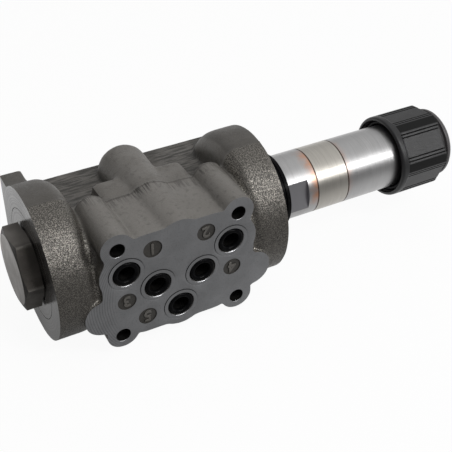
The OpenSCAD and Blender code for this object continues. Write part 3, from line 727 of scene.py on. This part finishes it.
def plastic_material():
    """Black moulded nylon: grained flats, duller round corners and grooves darkened with painted shade, and a
    painted reflection lightening the inside.
    """
    m = Nodes("black_nut_plastic")
    x, y, z = m.axes()
    r = spool_radius(m, y, z)
    dy = m.sub(y, AXIS_Y)
    reach = 0.0
    for i in range(3):
        a = math.radians(NUT_TURN + 60.0 * i)
        d = m.add(m.mul(dy, math.cos(a)), m.mul(z, math.sin(a)))
        reach = m.math("MAXIMUM", m.abs(d), reach)
    grain = m.noise(2.2, 3.0, 0.6)
    patch = m.noise(0.16, 3.0, 0.5)
    along = m.mul(m.remap(x, NUT_GRIP + 0.1, NUT_GRIP + 0.4), m.remap(x, NUT_NECK, NUT_NECK - 0.2))
    corner_dull_and_shade = m.mul(m.remap(reach, NUT_FLAT_R + 0.08, NUT_FLAT_R + 0.3), along)
    groove = m.mul(m.remap(reach, NUT_FLAT_R - 0.05, NUT_FLAT_R - 0.18), along)
    inside = m.remap(r, NUT_MOUTH_R + 0.08, NUT_MOUTH_R + 0.02)
    color = m.mix(m.remap(patch, 0.35, 0.65), (0.0115, 0.0113, 0.0123), (0.0170, 0.0168, 0.0181))
    color = m.layered(color, [
        # painted shade on the round corners, which are also rougher
        (corner_dull_and_shade, (0.004, 0.004, 0.0045)),
        # painted shade in the groove floors, which are also rougher
        (groove, (0.001, 0.001, 0.001)),
        # painted reflection lightening the inside of the mouth
        (inside, (0.085, 0.08, 0.082)),
    ])
    rough = m.remap(grain, 0.3, 0.7, 0.50, 0.38)
    rough = m.mix(groove, m.mix(corner_dull_and_shade, rough, 0.62), 0.9)
    return m.finish(color, rough, 0.0, m.bump(grain, 0.05, 0.5))


def rubber_material(name="seal_rubber", shade=1.0):
    m = Nodes(name)
    grain = m.noise(3.0, 2.0, 0.5)
    dust = m.noise(0.35, 4.0, 0.6)
    clean, dusty = shaded((0.0035, 0.0035, 0.004), shade), shaded((0.008, 0.008, 0.0083), shade)
    m.bsdf.inputs["Specular IOR Level"].default_value = 0.05
    color = m.mix(m.remap(dust, 0.45, 0.75), clean, dusty)
    return m.finish(color, m.remap(grain, 0.3, 0.7, 0.30, 0.20), 0.0, m.bump(grain, 0.02, 0.4))


def braze_material():
    m = Nodes("copper_braze")
    patch = m.noise(0.8, 3.0, 0.6)
    color = m.mix(m.remap(patch, 0.35, 0.65), (0.030, 0.016, 0.011), (0.075, 0.040, 0.027))
    return m.finish(color, m.remap(patch, 0.3, 0.7, 0.5, 0.36), 0.5, m.bump(patch, 0.04, 0.6))


def plain_metal(name, light, dark, rough):
    m = Nodes(name)
    patch = m.noise(0.15, 3.0, 0.55)
    fine = m.noise(3.0, 2.0, 0.5)
    color = m.mix(m.remap(patch, 0.35, 0.65), dark, light)
    return m.finish(color, m.remap(fine, 0.3, 0.7, rough, rough + 0.08), 1.0, m.bump(fine, 0.01, 0.5))


def floor_material():
    """Pale table with a soft shadow and a painted pool of light: darker in front for bounced light, and what
    metal mirrors of it falls off towards the front left.
    """
    m = Nodes("studio_floor")
    x, y, _ = m.axes()
    path = m.tree.nodes.new("ShaderNodeLightPath").outputs
    camera_ray = path["Is Camera Ray"]
    ahead = m.add(m.mul(x, 0.479), m.mul(y, 0.878))
    table = m.mix(m.remap(m.noise(0.02, 2.0, 0.5), 0.3, 0.7), 0.50, 0.54)
    table = m.mix(camera_ray, table, 0.9)
    # painted pool of light: the table darkens towards the front for bounced light
    m.finish(m.mix(m.remap(ahead, -110.0, -66.0), 0.16, table), 0.9, 0.0)
    m.bsdf.inputs["Specular IOR Level"].default_value = 0.0
    seen = m.add(camera_ray, path["Is Glossy Ray"])
    seen = m.add(seen, path["Is Transmission Ray"], True)
    glow = m.tree.nodes.new("ShaderNodeEmission")
    # painted pool of light seen by metal: lighter towards the back right, full white for the camera
    m.link(m.mix(camera_ray, m.remap(ahead, -20.0, 110.0, 0.28, 1.0), 1.0), glow.inputs["Color"])
    glow.inputs["Strength"].default_value = 1.0
    mixer = m.tree.nodes.new("ShaderNodeMixShader")
    m.link(m.mul(seen, 0.94), mixer.inputs[0])
    m.link(m.bsdf.outputs[0], mixer.inputs[1])
    m.link(glow.outputs[0], mixer.inputs[2])
    m.link(mixer.outputs[0], m.out.inputs[0])
    return m.mat


# Dressing

body_mats = [
    cast_material(),
    milled_material(),
    turned_material("turned_iron_end", (0.182, 0.179, 0.177), (0.132, 0.129, 0.127), 0.2, 0.35, 0.15, 0.82),
    bored_material(),
    # darker copy of the cast skin for the label recesses: painted shade in the recesses
    cast_material("cast_label_recess_shaded", 0.45),
    # dark metal for the tool grooves' inner walls: painted shadow
    plain_metal("tool_groove_shadow", (0.05, 0.05, 0.052), (0.03, 0.03, 0.032), 0.5),
]
body = make_body()
mark_faces(body, body_mats)
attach(body, "valve")
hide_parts("valve_body")

STEEL_LIGHT, STEEL_DARK = (0.52, 0.517, 0.517), (0.40, 0.397, 0.397)
CORE_STAIN, TUBE_STAIN = (BRAZE_INNER_X, 7.0, -1.0, 1.0), (BRAZE_OUTER_X, 4.0, 1.0, 0.35)
finishes = {
    "ground_steel": plain_metal("ground_steel", (0.66, 0.66, 0.67), (0.58, 0.58, 0.59), 0.16),
    "zinc_steel": plain_metal("zinc_steel", (0.58, 0.59, 0.60), (0.46, 0.47, 0.48), 0.32),
    "spring_steel": plain_metal("spring_steel", (0.36, 0.36, 0.37), (0.24, 0.24, 0.25), 0.3),
    "phosphated_steel": plug_material(),
    "nonmagnetic_steel": tube_material("nonmagnetic_steel", (0.56, 0.535, 0.49), (0.43, 0.41, 0.375), 0.34),
    "soft_iron": turned_material("soft_iron", (0.50, 0.50, 0.50), (0.38, 0.38, 0.385)),
    "braze": braze_material(),
    "brass": plain_metal("sheet_brass", (0.72, 0.54, 0.24), (0.60, 0.44, 0.20), 0.25),
    "rubber": rubber_material(),
    "black_plastic": plastic_material(),
}
tube_places = {
    "pole_core": tube_material("core_steel", STEEL_LIGHT, STEEL_DARK, 0.35, [CORE_STAIN], True),
    "armature_tube": tube_material("tube_steel", STEEL_LIGHT, STEEL_DARK, 0.35, [TUBE_STAIN]),
    "tube_end_plug": turned_material("plug_steel", STEEL_LIGHT, STEEL_DARK, 0.28),
    # lighter copy of the rubber on the nut's seal: painted light
    "nut_seal": rubber_material("nut_seal_rubber_painted_light", 4.0),
}
for entry in frame["record"]["subparts"]:
    name = entry["node"]
    if name in ("valve_body", "return_spring", "coil_nut"):
        continue
    node = frame["nodes"][name]
    mat = tube_places.get(name) or finishes[entry["material_slot"]]
    node.data.materials.clear()
    node.data.materials.append(mat)


def turn_about_axis(obj, degrees):
    """Turns a mesh about the spool axis."""
    middle = Matrix.Translation((0.0, AXIS_Y * MM, 0.0))
    obj.data.transform(middle @ Matrix.Rotation(math.radians(degrees), 4, "X") @ middle.inverted())


def make_nut():
    """Coil nut with a soft lip, six grip flats with groove pairs, a neck and a thin end disc."""
    axis = (AXIS_Y, 0.0)
    collar = lathe("collar", [
        (NUT_MOUTH, 18.95), (NUT_MOUTH + 0.25, 19.55), (NUT_MOUTH + 0.9, NUT_R),
        (NUT_GRIP, NUT_R)], "X", axis)
    bar = lathe("bar", [(NUT_GRIP - 0.5, NUT_R), (NUT_NECK, NUT_R)], "X", axis)
    corner_r = NUT_FLAT_R / math.cos(math.pi / 6)
    flats = lathe("c", [(NUT_GRIP - 1.0, corner_r), (NUT_NECK + 1.0, corner_r)], "X", axis, 6)
    turn_about_axis(flats, NUT_TURN + 30.0)
    boolean(bar, flats, "INTERSECT")
    tail = lathe("tail", [
        (NUT_NECK - 0.5, NUT_NECK_R), (NUT_DISC, NUT_NECK_R), (NUT_DISC, NUT_DISC_R),
        (NUT_DISC + 1.5, NUT_DISC_R), (NUT_END, 15.4)], "X", axis)
    nut = join([collar, bar, tail], "nut")
    soften(nut, NUT_VOXEL, NUT_PASSES)
    boolean(nut, lathe("c", [
        (NUT_MOUTH - 1.0, 18.8), (NUT_MOUTH + 0.5, 18.2), (NUT_MOUTH + 1.2, NUT_MOUTH_R),
        (NUT_THREAD_X, NUT_MOUTH_R), (NUT_THREAD_X, NUT_THREAD_R), (NUT_HOLE_X, NUT_THREAD_R),
        (NUT_HOLE_X, NUT_HOLE_R), (170.0, NUT_HOLE_R)], "X", axis))
    cutters = []
    for i in range(6):
        for at in GROOVES:
            width = (at - GROOVE_HALF, at + GROOVE_HALF)
            cutter = box("c", (NUT_GRIP, NUT_NECK + 1.0), (GROOVE_FLOOR, 21.0), width)
            cutter.data.transform(Matrix.Translation((0.0, AXIS_Y * MM, 0.0)))
            turn_about_axis(cutter, NUT_TURN + 60.0 * i)
            cutters.append(cutter)
    boolean(nut, join(cutters, "grooves"))
    nut.data.shade_smooth()
    nut.data.set_sharp_from_angle(angle=math.radians(NUT_SHARP))
    return nut


nut = make_nut()
nut.data.materials.clear()
nut.data.materials.append(finishes["black_plastic"])
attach(nut, "nut")
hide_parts("coil_nut")


def helix(name, start, length, mean_r, wire_r, turns, per_turn=36, sides=12):
    """Wound wire along X around the spool axis."""
    verts = []
    steps = int(turns * per_turn)
    for i in range(steps + 1):
        a = 2 * math.pi * turns * i / steps
        along = start + length * i / steps
        for k in range(sides):
            b = 2 * math.pi * k / sides
            r = mean_r + wire_r * math.cos(b)
            verts.append((along + wire_r * math.sin(b), AXIS_Y - r * math.sin(a), -r * math.cos(a)))
    return new_object(name, verts, skin_faces(steps + 1, sides))


spring = helix("spring_wire", start=-51.15, length=13.8, mean_r=6.8, wire_r=0.79, turns=4.5)
spring.data.materials.append(finishes["spring_steel"])
spring.data.shade_smooth()
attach(spring, "valve")
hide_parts("return_spring")
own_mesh(spring)

# Numerals: height of the figures, half their thickness, their bevel, and their place along Y
FIGURE_SIZE, FIGURE_HALF, FIGURE_EDGE, FIGURE_Y = 7.4, 0.22, 0.10, 0.40


def numeral(text, x, z, mat):
    """Plain cast numeral in a label recess, upside down as the valve lies."""
    curve = bpy.data.curves.new("numeral", "FONT")
    curve.body = text
    curve.size = FIGURE_SIZE * MM
    curve.extrude = FIGURE_HALF * MM
    curve.offset = FIGURE_EDGE * MM
    curve.bevel_depth = FIGURE_EDGE * MM
    curve.align_x = "CENTER"
    curve.align_y = "CENTER"
    source = bpy.data.objects.new("numeral_source", curve)
    bpy.context.scene.collection.objects.link(source)
    depsgraph = bpy.context.evaluated_depsgraph_get()
    mesh = bpy.data.meshes.new_from_object(source.evaluated_get(depsgraph))
    bpy.data.objects.remove(source)
    turn = Matrix.Rotation(math.pi, 4, "Y") @ Matrix.Rotation(math.pi / 2, 4, "X")
    mesh.transform(Matrix.Translation(Vector((x, FIGURE_Y, z)) * MM) @ turn)
    obj = bpy.data.objects.new("numeral_" + text, mesh)
    bpy.context.scene.collection.objects.link(obj)
    mesh.materials.append(mat)
    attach(obj, "valve")


for i, (lx, lz) in enumerate(LABELS):
    numeral(str(i + 1), lx, lz, body_mats[CAST])

# Floor, at the lowest point of the flanges
reach, low = 4000.0, -FLANGE_R
corners = [(-reach, -reach, low), (reach, -reach, low), (reach, reach, low), (-reach, reach, low)]
floor = new_object("floor", corners, [(0, 1, 2, 3)])
floor.data.materials.append(floor_material())

# Camera: lens and sensor, and the turn and shift that take the part's frame to the camera's
LENS, SENSOR = 73.33, 36.0
CAMERA_TURN = (0.657456, -0.474791, -0.149727)
CAMERA_SHIFT = (-18.9295, 20.3197, 384.1052)

scene = bpy.context.scene
cam_data = bpy.data.cameras.new("camera")
cam_data.sensor_width = SENSOR
cam_data.lens = LENS
cam_data.clip_start = 0.01
cam_data.clip_end = 30.0
camera = bpy.data.objects.new("camera", cam_data)
scene.collection.objects.link(camera)
turn = Vector(CAMERA_TURN)
base = Matrix(((1, 0, 0), (0, 0, -1), (0, 1, 0)))
look = Matrix.Rotation(turn.length, 3, turn.normalized()) @ base
right, down, forward = look.row[0], look.row[1], look.row[2]
pose = Matrix((right, -down, -forward)).transposed().to_4x4()
pose.translation = -(look.transposed() @ (Vector(CAMERA_SHIFT) * MM))
camera.matrix_world = pose
scene.camera = camera


# Lights

# Name, azimuth from +X towards +Y, elevation, distance in metres, size in metres and power of each soft box
LAMPS = (
    ("key", -53.0, 31.0, 1.2, (0.30, 0.32), 3.0),
    ("front", -72.0, 53.6, 1.2, (0.24, 0.24), 3.8),
    ("overhead", 20.0, 80.0, 1.5, (1.4, 1.2), 1.2),
)

# Point in metres that the lamps shine at
LAMP_TARGET = (0.04, 0.035, 0.0)

# Tone of the studio tent by the sine of the elevation, in front of the object and behind it
TENT_FRONT = (
    (-1.0, 0.15), (0.0, 0.11), (0.07, 0.22), (0.16, 0.36),
    (0.42, 0.48), (0.68, 0.78), (0.84, 0.64), (1.0, 0.66))
TENT_BACK = (
    (-1.0, 0.6), (0.0, 0.72), (0.15, 0.76), (0.40, 0.78),
    (0.62, 0.86), (0.76, 0.92), (0.88, 0.80), (1.0, 0.70))


def soft_box(name, azimuth, elevation, distance, size, power):
    """Area lamp that is seen from the object at an azimuth and an elevation."""
    a, e = math.radians(azimuth), math.radians(elevation)
    way = Vector((math.cos(a) * math.cos(e), math.sin(a) * math.cos(e), math.sin(e)))
    data = bpy.data.lights.new(name, "AREA")
    data.shape = "RECTANGLE"
    data.size, data.size_y = size
    data.energy = power
    obj = bpy.data.objects.new(name, data)
    scene.collection.objects.link(obj)
    obj.matrix_world = way.to_track_quat("Z", "Y").to_matrix().to_4x4()
    obj.location = Vector(LAMP_TARGET) + way * distance


for lamp in LAMPS:
    soft_box(*lamp)


def tent_tone(tree, value, stops):
    """Tone by elevation: stops are (sine of the elevation, tone)."""
    n = tree.nodes.new("ShaderNodeValToRGB")
    n.color_ramp.interpolation = "EASE"
    elements = n.color_ramp.elements
    while len(elements) < len(stops):
        elements.new(0.5)
    for element, (place, tone) in zip(elements, stops):
        element.position = (place + 1.0) / 2.0
        element.color = (tone, tone, tone, 1.0)
    tree.links.new(value, n.inputs[0])
    return n.outputs[0]


def tent_range(tree, value, low, high, start=0.0, end=1.0, kind="SMOOTHSTEP"):
    n = tree.nodes.new("ShaderNodeMapRange")
    n.interpolation_type = kind
    for key, v in (("From Min", low), ("From Max", high), ("To Min", start), ("To Max", end)):
        n.inputs[key].default_value = v
    tree.links.new(value, n.inputs["Value"])
    return n.outputs[0]


def make_world():
    """Soft studio tent: pale behind and above, darker to the left and low in front."""
    world = bpy.data.worlds.new("studio")
    scene.world = world
    world.use_nodes = True
    t = world.node_tree
    t.nodes.clear()
    out = t.nodes.new("ShaderNodeOutputWorld")
    coord = t.nodes.new("ShaderNodeTexCoord")
    split = t.nodes.new("ShaderNodeSeparateXYZ")
    t.links.new(coord.outputs["Generated"], split.inputs[0])
    way_x, way_y, way_z = split.outputs
    height = tent_range(t, way_z, -1.0, 1.0, kind="LINEAR")
    tent = t.nodes.new("ShaderNodeMix")
    tent.data_type = "RGBA"
    t.links.new(tent_range(t, way_y, -0.35, 0.25), tent.inputs["Factor"])
    t.links.new(tent_tone(t, height, TENT_FRONT), tent.inputs[6])
    t.links.new(tent_tone(t, height, TENT_BACK), tent.inputs[7])
    glow = t.nodes.new("ShaderNodeBackground")
    t.links.new(tent.outputs[2], glow.inputs["Color"])
    t.links.new(tent_range(t, way_x, -0.6, 0.25, 0.40, 0.78), glow.inputs["Strength"])
    t.links.new(glow.outputs[0], out.inputs[0])


make_world()
scene.view_settings.view_transform = "Standard"
